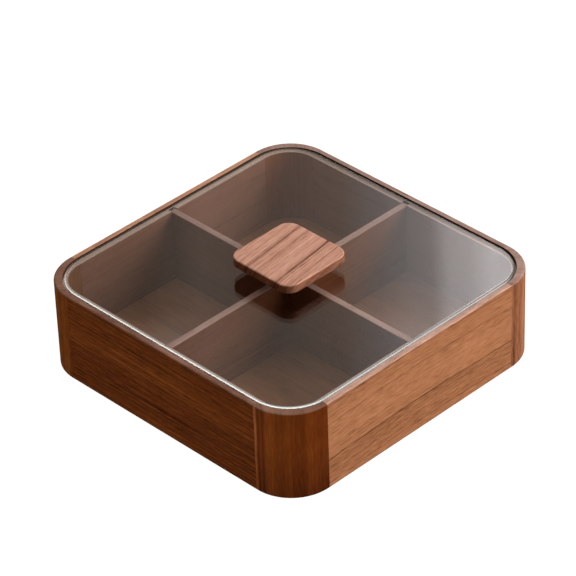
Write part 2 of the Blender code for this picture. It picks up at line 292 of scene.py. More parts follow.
def pocket_face(corners):
    """The middle faces that the insets left, whose corners all lie on the pocket's wall."""
    flat = level_at(wall_top)(corners) or level_at(0)(corners)
    return flat and max(max(abs(corner.x), abs(corner.y)) for corner in corners) < inner_half + NEAR


with editing(ring):
    pick("FACE", pocket_face)
    bpy.ops.mesh.bridge_edge_loops()

recess_half = outer_half - RIM_WIDTH
cut(ring, rounded_slab("recess", recess_half, ledge, wall_top + CUT_OVERRUN,
                       RECESS_CORNER_RADIUS))
print("ring", len(ring.data.polygons), "faces; the lid's ledge is", round(1000 * ledge, 1), "mm up")

# %% [markdown]
# ## Grooves in the ring
#
# A groove round the inside holds the floor, and one groove at the middle of each board takes
# the end of a slat. They are cut with simple blocks, as a router would: the block is the path
# of the tool. The small dark slots behind the slats' ends show through the glass.

# %% Cut the grooves
FLOOR_PLAY = 0.0007
SLAT_END_PLAY = 0.0016

slat_low, slat_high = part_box("lower_slat")
slat_thickness = slat_high.y - slat_low.y
groove_wide = slat_thickness / 2 + TOUCH_GAP
groove_long = slat_high.x + SLAT_END_PLAY
floor_groove_half = floor_high.x + FLOOR_PLAY
floor_corner = CORNER_RADIUS - (outer_half - floor_groove_half)

cut(ring, rounded_slab("floor_groove", floor_groove_half, floor_low.z - TOUCH_GAP,
                       floor_high.z + TOUCH_GAP, floor_corner))
for half_x, half_y in ((groove_wide, groove_long), (groove_long, groove_wide)):
    cut(ring, add_block("slat_groove", (-half_x, -half_y, floor_low.z),
                        (half_x, half_y, wall_top + CUT_OVERRUN)))
print("slat grooves", round(2000 * groove_wide, 1), "mm wide")

# %% [markdown]
# ## Sawing the ring into boards and corner blocks
#
# Each piece is a copy of the blank, sawn at its seams with the Bisect tool, which also closes
# the cut. A hair's breadth is left between the pieces, and each seam edge is eased, so the
# joint shows as the fine line that a glued joint has. The slots for the loose tongues, hidden
# inside every joint, are cut from the tongues' own boxes.

# %% Saw and finish the eight pieces
SEAM_GAP = 0.00004
WOOD_EASE = 0.00018

seam = (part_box("front_board")[1].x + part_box("corner_front_right")[0].x) / 2


def saw(piece, point, away):
    """Cut a piece at a point and drop what lies in the direction away."""
    with editing(piece):
        slice_through(point, away, use_fill=True, clear_outer=True)


def copy_blank(name):
    take(ring)
    bpy.ops.object.duplicate()
    piece = bpy.context.object
    piece.name = piece.data.name = name
    return piece


def slot_tongues(piece, name):
    """Cut the slots of the tongues that reach into this piece."""
    low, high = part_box(name)
    for node in sorted(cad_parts):
        tongue_low, tongue_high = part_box(node)
        meets = all(tongue_low[i] < high[i] and tongue_high[i] > low[i] for i in range(3))
        if node.startswith("tongue") and meets:
            grow = Vector((TOUCH_GAP,) * 3)
            cut(piece, add_block("slot", tongue_low - grow, tongue_high + grow))


wall_pieces = {}
board_names = ("front_board", "right_board", "back_board", "left_board")
corner_names = ("corner_front_right", "corner_back_right", "corner_back_left", "corner_front_left")
for turns, (board, corner) in enumerate(zip(board_names, corner_names)):
    quarter = Matrix.Rotation(turns * math.pi / 2, 3, "Z")
    along, outward = quarter @ Vector((1, 0, 0)), quarter @ Vector((0, -1, 0))
    piece = copy_blank(board + "_wood")
    saw(piece, along * (seam - SEAM_GAP), along)
    saw(piece, -along * (seam - SEAM_GAP), -along)
    saw(piece, (0, 0, 0), -outward)
    slot_tongues(piece, board)
    wall_pieces[board] = sand(piece, WOOD_EASE)
    piece = copy_blank(corner + "_wood")
    saw(piece, along * (seam + SEAM_GAP), -along)
    saw(piece, outward * (seam + SEAM_GAP), -outward)
    slot_tongues(piece, corner)
    wall_pieces[corner] = sand(piece, WOOD_EASE)
bpy.data.objects.remove(ring, do_unlink=True)
for name, piece in wall_pieces.items():
    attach(piece, "box")
    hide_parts(name)
print("wall pieces", {name: len(piece.data.polygons) for name, piece in wall_pieces.items()})

# %% [markdown]
# ## The floor
#
# The floor is one thin panel that sits loose in its groove, so that the wood can swell with
# the seasons. It is a slab with rounded corners, a little smaller than its groove.

# %% Make the floor
floor = rounded_slab("floor_wood", floor_high.x, floor_low.z, floor_high.z,
                     floor_corner - FLOOR_PLAY)
sand(floor, WOOD_EASE)
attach(floor, "box")
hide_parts("floor_panel")
print("floor", len(floor.data.polygons), "faces")

# %% [markdown]
# ## The crossed slats
#
# Two thin slats cross at a halved joint: one is notched from above and the other from below,
# each to half its height. A flat outline is the quickest start: a sheet the size of the slat's
# side is cut with Bisect at the notch's edges, the notch's face is deleted, and the sheet is
# pushed out to the slat's thickness. A round relief at the crossing clears the screw's head.

# %% Make the slats
SLAT_EASE = 0.0004
HEAD_CLEARANCE = 0.0020
RELIEF_SIDES = 64

screw_low, screw_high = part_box("knob_screw")
slat_crossing = (slat_low.z + slat_high.z) / 2
relief_radius = screw_high.x + HEAD_CLEARANCE
relief_base = screw_low.z - HEAD_CLEARANCE


def make_slat(name, open_top, grain_along_y):
    """One slat, made along X and then turned if its grain runs along Y."""
    deselect()
    bpy.ops.mesh.primitive_plane_add(
        size=1, location=(0, -slat_thickness / 2, slat_crossing), rotation=(math.pi / 2, 0, 0))
    bpy.context.object.scale = (2 * slat_high.x, slat_high.z - slat_low.z, 1)
    slat = settle(name)
    half_gap = TOUCH_GAP / 2 if open_top else -TOUCH_GAP / 2
    notch_end = slat_crossing - half_gap
    with editing(slat):
        for point, normal in (((-groove_wide, 0, 0), (1, 0, 0)), ((groove_wide, 0, 0), (1, 0, 0)),
                              ((0, 0, notch_end), (0, 0, 1))):
            slice_through(point, normal)

        def in_notch(corners):
            middle = sum(corners, Vector()) / len(corners)
            return abs(middle.x) < groove_wide and (middle.z > notch_end) == open_top

        pick("FACE", in_notch)
        bpy.ops.mesh.delete(type="FACE")
        bpy.ops.mesh.select_all(action="SELECT")
        bpy.ops.mesh.extrude_region_move(TRANSFORM_OT_translate={"value": (0, slat_thickness, 0)})
        if grain_along_y:
            bpy.ops.mesh.select_all(action="SELECT")
            bpy.ops.transform.rotate(value=-math.pi / 2, orient_axis="Z", center_override=(0, 0, 0))
        bpy.ops.mesh.select_all(action="SELECT")
        bpy.ops.mesh.normals_make_consistent(inside=False)
    cut(slat, add_disc("relief", relief_radius, relief_base, slat_high.z + CUT_OVERRUN,
                       RELIEF_SIDES))
    sand(slat, SLAT_EASE)
    return slat


slats = {
    "lower_slat": make_slat("lower_slat_wood", open_top=True, grain_along_y=False),
    "upper_slat": make_slat("upper_slat_wood", open_top=False, grain_along_y=True),
}
for name, slat in slats.items():
    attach(slat, name)
    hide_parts(name)
print("slats", {name: len(slat.data.polygons) for name, slat in slats.items()})

# %% [markdown]
# ## The glass lid
#
# The lid is a pane of toughened glass. Its rim is ground round above and below, with a flat band
# between the two rounds, and the upper round is the bright line all about the lid. A pane could
# be a flat sheet made solid, but the rounds need real faces. So it is a slab whose upright
# corners are rounded first, and then both rims with a fine bevel. The screw's hole is drilled
# through the middle.

# %% Make the glass
GLASS_EDGE_ROUND = 0.0012
GLASS_EDGE_SEGMENTS = 10
HOLE_SIDES = 64
GLASS_HOLE_RADIUS = 0.0032

glass_corner = RECESS_CORNER_RADIUS - (recess_half - glass_high.x)
glass = rounded_slab("lid_glass", glass_high.x, glass_low.z, glass_high.z, glass_corner)
with editing(glass):
    round_edges(on_rim, GLASS_EDGE_ROUND, GLASS_EDGE_SEGMENTS)
cut(glass, add_disc("hole", GLASS_HOLE_RADIUS, glass_low.z - CUT_OVERRUN,
                    glass_high.z + CUT_OVERRUN, HOLE_SIDES))
sand(glass, 0)
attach(glass, "lid")
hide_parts("glass_lid")
print("glass", len(glass.data.polygons), "faces")

# %% [markdown]
# ## The knob
#
# The knob is a small square plate with rounded corners, held up on a short turned stem so that
# fingertips fit below it. The plate is a slab like the lid, and the stem is a ring: a cylinder
# whose two ends are inset to the screw's hole and bridged. The rims are rounded as a file
# would round them, the plate's a little more than the stem's.

# %% Make the knob's plate and stem
PLATE_CORNER_RADIUS = 0.0100
PLATE_EDGE_ROUND = 0.0010
STEM_EDGE_ROUND = 0.0008
SCREW_HOLE_RADIUS = 0.0023
INSERT_PLAY = 0.0003
ROUND_SIDES = 96

plate_low, plate_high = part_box("knob_plate")
insert_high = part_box("threaded_insert")[1]
plate = rounded_slab("knob_plate_wood", plate_high.x, plate_low.z, plate_high.z,
                     PLATE_CORNER_RADIUS)
with editing(plate):
    round_edges(on_rim, PLATE_EDGE_ROUND, EDGE_SEGMENTS)
cut(plate, add_disc("insert_hole", insert_high.x + INSERT_PLAY, plate_low.z - CUT_OVERRUN,
                    insert_high.z + INSERT_PLAY, HOLE_SIDES))
sand(plate, 0)


def make_ring(name, node, ease):
    """A turned ring with a hole for the screw, in the place of a node."""
    low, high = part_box(node)
    turned = add_disc(name, high.x, low.z, high.z, ROUND_SIDES)

    def cap(corners):
        return len(corners) > 4 and (level_at(low.z)(corners) or level_at(high.z)(corners))

    with editing(turned):
        round_edges(on_rim, ease, EDGE_SEGMENTS)
        inset_faces(cap, high.x - ease - SCREW_HOLE_RADIUS)
        bpy.ops.mesh.bridge_edge_loops()
    return sand(turned, 0)


stem = make_ring("knob_stem_wood", "knob_stem", STEM_EDGE_ROUND)
for piece, node in ((plate, "knob_plate"), (stem, "knob_stem")):
    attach(piece, "lid")
    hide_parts(node)
print("plate", len(plate.data.polygons), "faces, stem", len(stem.data.polygons))

# %% [markdown]
# ## The fastening
#
# One screw goes up through the glass into a brass insert in the plate, with a soft washer on
# each side of the glass so that wood and steel never press on it. The screw starts as a disc for
# its head: the lower rim is rounded to a dome, the top is inset and pushed up into the shank, and
# a six-sided bar cuts the socket.

# %% Make the washers and the screw
WASHER_EASE = 0.00025
SHANK_RADIUS = 0.0020
HEAD_HEIGHT = 0.0022
DOME_ROUND = 0.0019
DOME_SEGMENTS = 10
TIP_CHAMFER = 0.0006
SOCKET_RADIUS = 0.00145
SOCKET_DEPTH = 0.0013
SOCKET_SIDES = 6

washers = [make_ring("upper_washer_ring", "upper_washer", WASHER_EASE),
           make_ring("lower_washer_ring", "lower_washer", WASHER_EASE)]
head_top = screw_low.z + HEAD_HEIGHT
screw = add_disc("knob_screw_steel", screw_high.x, screw_low.z, head_top, ROUND_SIDES)
with editing(screw):
    round_edges(level_at(screw_low.z), DOME_ROUND, DOME_SEGMENTS)
    inset_faces(level_at(head_top), screw_high.x - SHANK_RADIUS)
    bpy.ops.mesh.extrude_region_move(
        TRANSFORM_OT_translate={"value": (0, 0, screw_high.z - head_top)})
    round_edges(level_at(screw_high.z), TIP_CHAMFER, segments=1)
cut(screw, add_disc("socket", SOCKET_RADIUS, screw_low.z - CUT_OVERRUN,
                    screw_low.z + SOCKET_DEPTH, SOCKET_SIDES))
sand(screw, 0)
for piece, node, finish in ((washers[0], "upper_washer", "silicone"),
                            (washers[1], "lower_washer", "silicone"),
                            (screw, "knob_screw", "steel")):
    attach(piece, "lid")
    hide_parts(node)
print("screw", len(screw.data.polygons), "faces")

# %% [markdown]
# ## Node trees in small steps
#
# A finish in Blender is a tree of nodes, and building one in code is like wiring it by hand: add
# a node, type its values in, and pull a wire from one output to the next input. The helpers
# below do just that, so that the recipes further on read as a list of steps.

# %% Add a node, and do sums on a surface
Socket = bpy.types.NodeSocket


def feed(tree, node, feeds):
    """Give each named input of a node a value or a wire."""
    for name, value in feeds.items():
        if isinstance(value, Socket):
            tree.links.new(value, node.inputs[name])
        else:
            node.inputs[name].default_value = value


def put(tree, kind, feeds=None, **settings):
    """Add a node, set its options, and feed its inputs."""
    node = tree.nodes.new("ShaderNode" + kind)
    for option, value in settings.items():
        setattr(node, option, value)
    feed(tree, node, feeds or {})
    return node


def own_place(tree):
    """The place of a point on its own piece, which moves with the piece."""
    return put(tree, "TexCoord").outputs["Object"]


def axes_of(tree, place):
    """A place taken apart into X, Y and Z."""
    return put(tree, "SeparateXYZ", {0: place}).outputs


def calc(tree, operation, *values, clamp=False):
    """One sum between numbers that vary over the surface."""
    return put(tree, "Math", dict(enumerate(values)), operation=operation, use_clamp=clamp).outputs[0]


def vector(tree, operation, *values, result=0):
    """One sum between places or colours."""
    return put(tree, "VectorMath", dict(enumerate(values)), operation=operation).outputs[result]


def fade(tree, amount, low, high, to_low=0, to_high=1, smooth=False):
    """A number that goes from one value to another while the amount goes from low to high."""
    feeds = {"Value": amount, "From Min": low, "From Max": high, "To Min": to_low, "To Max": to_high}
    kind = "SMOOTHSTEP" if smooth else "LINEAR"
    return put(tree, "MapRange", feeds, interpolation_type=kind).outputs[0]


def ramp(tree, amount, stops):
    """A colour ramp from a list of (position, colour) stops."""
    node = put(tree, "ValToRGB", {"Fac": amount})
    elements = node.color_ramp.elements
    while len(elements) < len(stops):
        elements.new(0.5)
    for element, (position, colour) in zip(elements, stops):
        element.position = position
        element.color = (*colour, 1)
    return node.outputs["Color"]


def new_material(name):
    material = bpy.data.materials.new(name)
    material.use_nodes = True
    return material, material.node_tree, material.node_tree.nodes["Principled BSDF"]


def dress(piece, *materials):
    """Give a piece its finishes, and nothing else."""
    piece.data.materials.clear()
    for material in materials:
        piece.data.materials.append(material)


print("node helpers ready")

# %% [markdown]
# ## Walnut, step one: where the grain runs
#
# Grain is a thing of the board, not of its surface: it runs along the tree and shows as lines on
# a long face and as short curved rings on a sawn end. So the pattern is made in space. Object
# coordinates are turned into millimetres, and put in order: first along the grain, then across
# it on the face, then into the wood. A noise that is stretched along the first of them is grain.

# %% Lay the grain
MILLIMETRES = 1000
AXES = "XYZ"
CLOUD_ROUGHNESS = 0.55


def grain_space(tree, along, across, turn, shift):
    """Object coordinates in millimetres, ordered along the grain, across it and into the wood."""
    turned = put(tree, "Mapping", {"Vector": own_place(tree), "Location": shift,
                                   "Rotation": (0, 0, turn), "Scale": (MILLIMETRES,) * 3})
    axes = axes_of(tree, turned.outputs[0])
    inward = AXES.replace(along, "").replace(across, "")
    order = {0: axes[along], 1: axes[across], 2: axes[inward]}
    return put(tree, "CombineXYZ", order).outputs[0]


def stretched(tree, place, reach):
    """Coordinates in which a pattern of size one is this many millimetres long, wide and deep."""
    return vector(tree, "MULTIPLY", place, tuple(1 / length for length in reach))


def even_noise(tree, place, detail, roughness):
    """Noise with patches of size one, between about -0.5 and 0.5."""
    feeds = {"Vector": place, "Scale": 1, "Detail": detail, "Roughness": roughness}
    return calc(tree, "SUBTRACT", put(tree, "TexNoise", feeds).outputs["Fac"], 0.5)


def cloud(tree, place, reach, detail=2.0):
    """A soft noise with patches of this size in millimetres."""
    return even_noise(tree, stretched(tree, place, reach), detail, CLOUD_ROUGHNESS)


print("grain runs in millimetres")

# %% [markdown]
# ## Walnut, step two: growth, streaks and pores
#
# Three things make walnut. Broad bands and thin dark lines are the tree's yearly growth: they are
# listed for each board, as tones at chosen heights, and then bent by a slow noise. Long
# streaks and short dashes lie along the same bent lines, and fine fibres over them. Pores are
# the dark nicks a third of a millimetre wide, which a Voronoi pattern gives when its cells are
# pulled long: only a spot at the heart of each cell is kept, and a second noise leaves some out.

# %% Grow the wood
WARP_REACH = (170, 40, 40)
RIPPLE_REACH = (34, 8, 8)
STREAK_REACH = 120
FIGURE_REACH = 13
FIBRE_REACH = (9, 0.8, 0.8)
MOTTLE_REACH = (34, 14, 14)
PORE_REACH = (10, 0.8, 0.8)
PORE_HALF = 0.20
PORE_HEART_SHARE = 0.4
PORE_PATCH = (60, 2.5, 2.5)
PORES_LEFT_OUT, PORES_KEPT = -0.06, 0.04
STREAK_DETAIL, STREAK_ROUGHNESS = 4, 0.6
BOW_REACH = 90


def growth_level(tree, place, bow, warp, ripple, lean):
    """How far across the growth a point is, in millimetres, on lines that wander."""
    axes = axes_of(tree, place)
    level = calc(tree, "MULTIPLY_ADD", axes[2], lean, axes[1])
    bent = calc(tree, "MULTIPLY", axes[0], axes[0])
    level = calc(tree, "MULTIPLY_ADD", bent, -bow / BOW_REACH ** 2, level)
    level = calc(tree, "MULTIPLY_ADD", cloud(tree, place, WARP_REACH), warp, level)
    return calc(tree, "MULTIPLY_ADD", cloud(tree, place, RIPPLE_REACH), ripple, level)


def growth_bands(tree, level, bands):
    """Tones listed at chosen levels, in millimetres, read off with a ramp."""
    low, high = bands[0][0], bands[-1][0]
    stops = [((height - low) / (high - low), (tone,) * 3) for height, tone in bands]
    return ramp(tree, fade(tree, level, low, high), stops)


def streaks(tree, place, level, width, reach):
    """Fine lines that follow the growth, some darker and some lighter."""
    axes = axes_of(tree, place)
    parts = (axes[0], reach), (level, width), (axes[2], reach)
    lines = put(tree, "CombineXYZ", dict(enumerate(calc(tree, "DIVIDE", *part) for part in parts)))
    return even_noise(tree, lines.outputs[0], STREAK_DETAIL, STREAK_ROUGHNESS)


def pores(tree, place):
    """One on a pore, nothing between them."""
    cells = put(tree, "TexVoronoi", {"Vector": stretched(tree, place, PORE_REACH), "Scale": 1})
    heart = PORE_HEART_SHARE * PORE_HALF
    spot = fade(tree, cells.outputs["Distance"], PORE_HALF, heart, smooth=True)
    kept = fade(tree, cloud(tree, place, PORE_PATCH), PORES_LEFT_OUT, PORES_KEPT)
    return calc(tree, "MULTIPLY", spot, kept)


print("pores are about", round(2 * PORE_HALF * PORE_REACH[1], 2), "mm wide")

# %% [markdown]
# ## Walnut, step three: one recipe for all the boards
#
# Every piece of wood comes from another part of the tree, so each gets its own tones, its own
# growth and its own place in the pattern, all through the same recipe. The tones run from the
# darkest growth line to the palest wood. A second set of paler tones may be mixed in above a given
# height, as painted light and sheen on the tops. Darker tones at a sawn end are painted shade. The
# ring has three more places of its own, told apart by how far they lie from its middle: the recess,
# painted near-black as shade, the ledge in it, painted pale as lit, and the sides of the
# compartments, given darker, greyer tones as painted shade, with their grain kept faint. A piece
# may also be made darker towards its foot. All this could be painted into an image, but sums on the
# place of a point stay sharp at any distance.

# %% The walnut recipe
OIL_ROUGHNESS = 0.42
LIT_TOP_FADE = 0.0010
PORE_ROUGHNESS = 0.25
GRAIN_RELIEF = 0.00004
WOOD_GLOSS = 0.08
RECESS_MARGIN = 0.00015
# Painted shade: a near-black tone for the recess that holds the lid.
RECESS_SHADE = (0.050, 0.022, 0.010)
# Painted light: a pale tone for the ledge in the recess.
LIT_LEDGE_TONE = (0.40, 0.28, 0.225)
# Painted shade: darker tones towards a piece's sawn ends.
END_SHADE = (0.60, 0.46, 0.28)
END_DEPTH = 0.0035
INSIDE_CALM = 0.55
FOOT_HEIGHT = 0.035
RIM_SHARE = 0.8
DASH_WIDTH_SHARE = 0.4
FIBRE_DETAIL = 3.0
FIBRE_ROUGHNESS = 0.12
PORE_RELIEF = 0.8
RELIEF_STRENGTH = 0.6


def tone_stops(tones):
    return [(k / (len(tones) - 1), shade) for k, shade in enumerate(tones)]


def mixed(tree, share, first, second):
    """Two colours mixed by a share that varies over the surface."""
    first, second = (part if isinstance(part, Socket) else (*part, 1) for part in (first, second))
    return put(tree, "Mix", {0: share, 6: first, 7: second}, data_type="RGBA").outputs[2]


def painted_top_light(tree, colour, tone, height, lit_top_tones):
    """Paler tones on what lies above a height: painted light and sheen on the tops."""
    upper = axes_of(tree, own_place(tree))["Z"]
    share = fade(tree, upper, height - LIT_TOP_FADE, height, smooth=True)
    return mixed(tree, share, colour, ramp(tree, tone, tone_stops(lit_top_tones)))


def sawn_ends(tree, colour, half_length):
    """Darker tones towards the ends of a piece whose grain runs along X: painted shade."""
    reach = calc(tree, "ABSOLUTE", axes_of(tree, own_place(tree))["X"])
    share = fade(tree, reach, half_length - END_DEPTH, half_length, smooth=True)
    return mixed(tree, share, colour, vector(tree, "MULTIPLY", colour, END_SHADE))


def foot_share(tree):
    """One at the foot of a piece, fading to nothing at the foot's height."""
    return fade(tree, axes_of(tree, own_place(tree))["Z"], FOOT_HEIGHT, 0)


def ring_parts(tree, colour, inside, middle_tone):
    """Painted shade in the recess and inside the ring, and painted light on its ledge."""
    here = own_place(tree)
    upper = axes_of(tree, here)["Z"]
    corner = outer_half - CORNER_RADIUS
    flat = vector(tree, "ABSOLUTE", vector(tree, "MULTIPLY", here, (1, 1, 0)))
    flat = vector(tree, "SUBTRACT", flat, (corner, corner, 0))
    reach = vector(tree, "LENGTH", vector(tree, "MAXIMUM", flat, (0, 0, 0)), result="Value")
    behind = calc(tree, "LESS_THAN", reach, CORNER_RADIUS - RIM_WIDTH * RIM_SHARE)
    below = calc(tree, "LESS_THAN", upper, wall_top - RECESS_MARGIN)
    recess = calc(tree, "MULTIPLY", behind, below)
    within = calc(tree, "LESS_THAN", reach, CORNER_RADIUS - WALL_THICKNESS + RECESS_MARGIN)
    level = calc(tree, "COMPARE", upper, ledge, RECESS_MARGIN)
    deep = calc(tree, "MULTIPLY", within, calc(tree, "LESS_THAN", upper, ledge))
    grained = tuple(part * (1 - INSIDE_CALM) for part in inside)
    even = tuple(part * INSIDE_CALM * shade for part, shade in zip(inside, middle_tone))
    shaded = vector(tree, "MULTIPLY_ADD", colour, grained, even)
    # Painted shade in the recess.
    colour = mixed(tree, recess, colour, RECESS_SHADE)
    # Painted light on the ledge.
    colour = mixed(tree, calc(tree, "MULTIPLY", recess, level), colour, LIT_LEDGE_TONE)
    # Painted shade on the compartments' sides, with calmer grain.
    return mixed(tree, deep, colour, shaded)


def walnut(name, tones, bands, along="X", across="Z", turn=0.0, shift=(0, 0, 0), bow=0.0,
           warp=5.0, ripple=1.6, lean=0.15, streak=0.90, width=1.8, figure=0.80, fibre=1.00,
           mottle=0.30, pore=0.35, foot=0.0, gloss=WOOD_GLOSS, edge=None, inside=None,
           ends=None):
    """A finish for one piece: its tones, its growth, and how strongly each grain shows."""
    material, tree, shader = new_material(name)
    place = grain_space(tree, along, across, turn, shift)
    level = growth_level(tree, place, bow, warp, ripple, lean)
    tone = growth_bands(tree, level, bands)
    fibres = cloud(tree, place, FIBRE_REACH, detail=FIBRE_DETAIL)
    layers = [(streaks(tree, place, level, width, STREAK_REACH), streak),
              (streaks(tree, place, level, DASH_WIDTH_SHARE * width, FIGURE_REACH), figure),
              (fibres, fibre), (cloud(tree, place, MOTTLE_REACH), mottle)]
    if foot:
        layers.append((foot_share(tree), -foot))
    for layer, strength in layers:
        tone = calc(tree, "MULTIPLY_ADD", layer, strength, tone)
    holes = pores(tree, place)
    tone = calc(tree, "MULTIPLY_ADD", holes, -pore, tone, clamp=True)
    colour = ramp(tree, tone, tone_stops(tones))
    if ends:
        colour = sawn_ends(tree, colour, ends)
    if edge:
        colour = painted_top_light(tree, colour, tone, *edge)
    if inside:
        colour = ring_parts(tree, colour, inside, tones[len(tones) // 2])
    rough = calc(tree, "MULTIPLY_ADD", fibres, FIBRE_ROUGHNESS, OIL_ROUGHNESS)
    rough = calc(tree, "MULTIPLY_ADD", holes, PORE_ROUGHNESS, rough)
    relief = calc(tree, "MULTIPLY_ADD", holes, -PORE_RELIEF, fibres)
    bump = put(tree, "Bump", {"Height": relief, "Strength": RELIEF_STRENGTH,
                              "Distance": GRAIN_RELIEF})
    feed(tree, shader, {"Base Color": colour, "Roughness": rough, "Specular IOR Level": gloss,
                        "Normal": bump.outputs[0]})
    return material


print("walnut recipe ready")

# %% [markdown]
# ## The boards of the wall
#
# The four boards are cut from different planks. The front one is warm and light with one thin
# dark line at a third of its height, the left one is dark heartwood full of fine streaks, with tones
# darkened further as painted shade on the side away from the window, and the other two are plain. A
# stock wood texture would give all four the same face. Here each board gets a list of its growth
# instead, as pairs of a height in millimetres and a tone, so that its lines lie where they lie on
# the real one. The upper rims have paler tones of their own, as painted light and sheen on the tops.

# %% Choose the boards' tones and growth
# The dark board's tones are partly painted shade, for the side that faces away from the window.
DARK_AND_SHADED_BOARD = [(0.050, 0.0084, 0.0006), (0.096, 0.0188, 0.0013), (0.145, 0.0313, 0.0022),
              (0.205, 0.0490, 0.0038), (0.290, 0.0820, 0.0090)]
WARM_BOARD = [(0.100, 0.033, 0.011), (0.215, 0.078, 0.030), (0.318, 0.123, 0.051),
              (0.390, 0.160, 0.069), (0.460, 0.205, 0.100)]
# Painted light: the knob's top tones, much paler than its sides.
KNOB_LIT_TOP = [(0.150, 0.058, 0.034), (0.350, 0.158, 0.100), (0.570, 0.274, 0.184),
              (0.690, 0.360, 0.250), (0.780, 0.440, 0.320)]
# Painted light and sheen: paler tones for the tops of the rims.
DARK_LIT_RIM = [(0.110, 0.050, 0.030), (0.185, 0.086, 0.053), (0.250, 0.120, 0.078),
            (0.310, 0.155, 0.104), (0.370, 0.195, 0.138)]
PALE_LIT_RIM = [(0.300, 0.160, 0.110), (0.460, 0.260, 0.190), (0.590, 0.350, 0.265),
            (0.670, 0.420, 0.325), (0.740, 0.500, 0.400)]
ORANGE_LIT_RIM = [(0.240, 0.105, 0.054), (0.420, 0.190, 0.108), (0.550, 0.268, 0.160),
              (0.640, 0.330, 0.210), (0.720, 0.390, 0.265)]
DULL_LIT_RIM = [(0.140, 0.078, 0.056), (0.255, 0.144, 0.108), (0.350, 0.210, 0.164),
            (0.420, 0.260, 0.208), (0.490, 0.315, 0.260)]

LEFT_GROWTH = [(0, 0.44), (4, 0.40), (9, 0.36), (20, 0.32), (30, 0.36), (34.5, 0.40), (37, 0.48),
               (41, 0.53), (47, 0.50), (50, 0.45), (53, 0.38), (57, 0.44), (61, 0.38), (66, 0.42),
               (68, 0.30), (70, 0.38)]
FRONT_GROWTH = [(0, 0.52), (6.0, 0.52), (6.8, 0.24), (7.8, 0.46), (11, 0.41), (17, 0.44),
                (22, 0.39), (25.2, 0.36), (26.0, 0.06), (26.9, 0.52), (33, 0.56), (42, 0.60),
                (52, 0.55), (54.6, 0.50), (55.2, 0.36), (56.2, 0.56), (60.5, 0.55), (61.1, 0.40),
                (62, 0.55), (68.2, 0.52), (69.0, 0.20), (70, 0.40)]
PLAIN_GROWTH = [(0, 0.42), (11, 0.52), (12, 0.30), (13.4, 0.50), (27, 0.55), (30, 0.36), (31, 0.48),
                (45, 0.58), (52, 0.44), (53, 0.26), (54, 0.46), (70, 0.50)]
HALF_BOX = MILLIMETRES * outer_half
# Factors on the compartments' sides, as painted shade: the first darkens the wood, the second darkens
# it and makes it greyer, and the last greys the dark wood with its red a little lower.
INSIDE_SHADE = (0.66, 0.56, 0.58)
GREY_INSIDE_SHADE = (0.58, 0.66, 1.00)
DARK_INSIDE = (0.82, 1.30, 7.00)

print("the front board has", len(FRONT_GROWTH), "growth tones, the left one", len(LEFT_GROWTH))

# %% Dress the boards
boards = {
    "front_board": walnut("walnut_front_board", WARM_BOARD, FRONT_GROWTH, shift=(0, HALF_BOX, 0),
                          bow=-2.7, warp=1.6, ripple=2.0, streak=0.70, figure=0.90, fibre=1.10,
                          edge=(wall_top, PALE_LIT_RIM), inside=INSIDE_SHADE),
    "left_board": walnut("walnut_left_board", DARK_AND_SHADED_BOARD, LEFT_GROWTH, along="Y",
                         shift=(HALF_BOX, 410, 0), warp=3.5, streak=1.90, width=1.3, gloss=0.03,
                         edge=(wall_top, DARK_LIT_RIM), inside=DARK_INSIDE),
    "back_board": walnut("walnut_back_board", WARM_BOARD, PLAIN_GROWTH, shift=(950, -HALF_BOX, 0),
                         warp=7, edge=(wall_top, ORANGE_LIT_RIM), inside=GREY_INSIDE_SHADE),
    "right_board": walnut("walnut_right_board", WARM_BOARD, PLAIN_GROWTH, along="Y",
                          shift=(-HALF_BOX, 1330, 0), warp=9,
                          edge=(wall_top, DULL_LIT_RIM), inside=GREY_INSIDE_SHADE),
}
for name, finish in boards.items():
    dress(wall_pieces[name], finish)
print("dressed", ", ".join(boards))

# %% [markdown]
# ## The corner blocks
#
# A corner block stands with its grain upright, so that it can be turned or planed to a quarter
# round without breaking out. Across such a round the growth shows as upright lines that crowd
# together at its sides. To get that, the pattern is turned by an eighth of a turn about the
# upright axis, so that it looks outwards through the corner, and the growth is listed from one
# seam to the other. The two corners beside the dark board are dark as well.

# %% Choose the corners' tones and growth
CORNER_DARK = [(0.045, 0.0075, 0.0006), (0.095, 0.0180, 0.0014), (0.150, 0.0310, 0.0024),
               (0.210, 0.0480, 0.0045), (0.380, 0.1300, 0.0420)]
CORNER_BROWN = [(0.055, 0.0105, 0.0006), (0.115, 0.0250, 0.0015), (0.180, 0.0430, 0.0030),
                (0.240, 0.0620, 0.0058), (0.300, 0.0900, 0.0140)]
CORNER_ORANGE = [(0.070, 0.020, 0.008), (0.165, 0.056, 0.023), (0.255, 0.091, 0.039),
                 (0.325, 0.122, 0.054), (0.400, 0.165, 0.080)]

FRONT_CORNER_GROWTH = [(-25, 0.66), (-23.4, 0.30), (-22.4, 0.92), (-21.4, 0.90), (-20.4, 0.26),
                       (-19, 0.50), (-17.6, 0.30), (-16, 0.62), (-13, 0.70), (-10, 0.58),
                       (-7, 0.46), (-2, 0.54), (3, 0.44), (8, 0.36), (12, 0.50), (16, 0.42),
                       (19, 0.34), (25, 0.30)]
LEFT_CORNER_GROWTH = [(-25, 0.36), (-21, 0.52), (-17, 0.40), (-12, 0.58), (-6, 0.46), (0, 0.56),
                      (8, 0.40), (12, 0.52), (18, 0.62), (21, 0.44), (25, 0.52)]
RIGHT_CORNER_GROWTH = [(-25, 0.12), (-23, 0.42), (-21, 0.16), (-18.5, 0.56), (-16, 0.40),
                       (-12, 0.68), (-6, 0.54), (3, 0.60), (14, 0.45), (25, 0.52)]
EIGHTH_TURN = math.pi / 4
CORNER_REACH = 163
print("corner growth is listed from", FRONT_CORNER_GROWTH[0][0], "to",
      FRONT_CORNER_GROWTH[-1][0], "mm")

# %% Dress the corner blocks

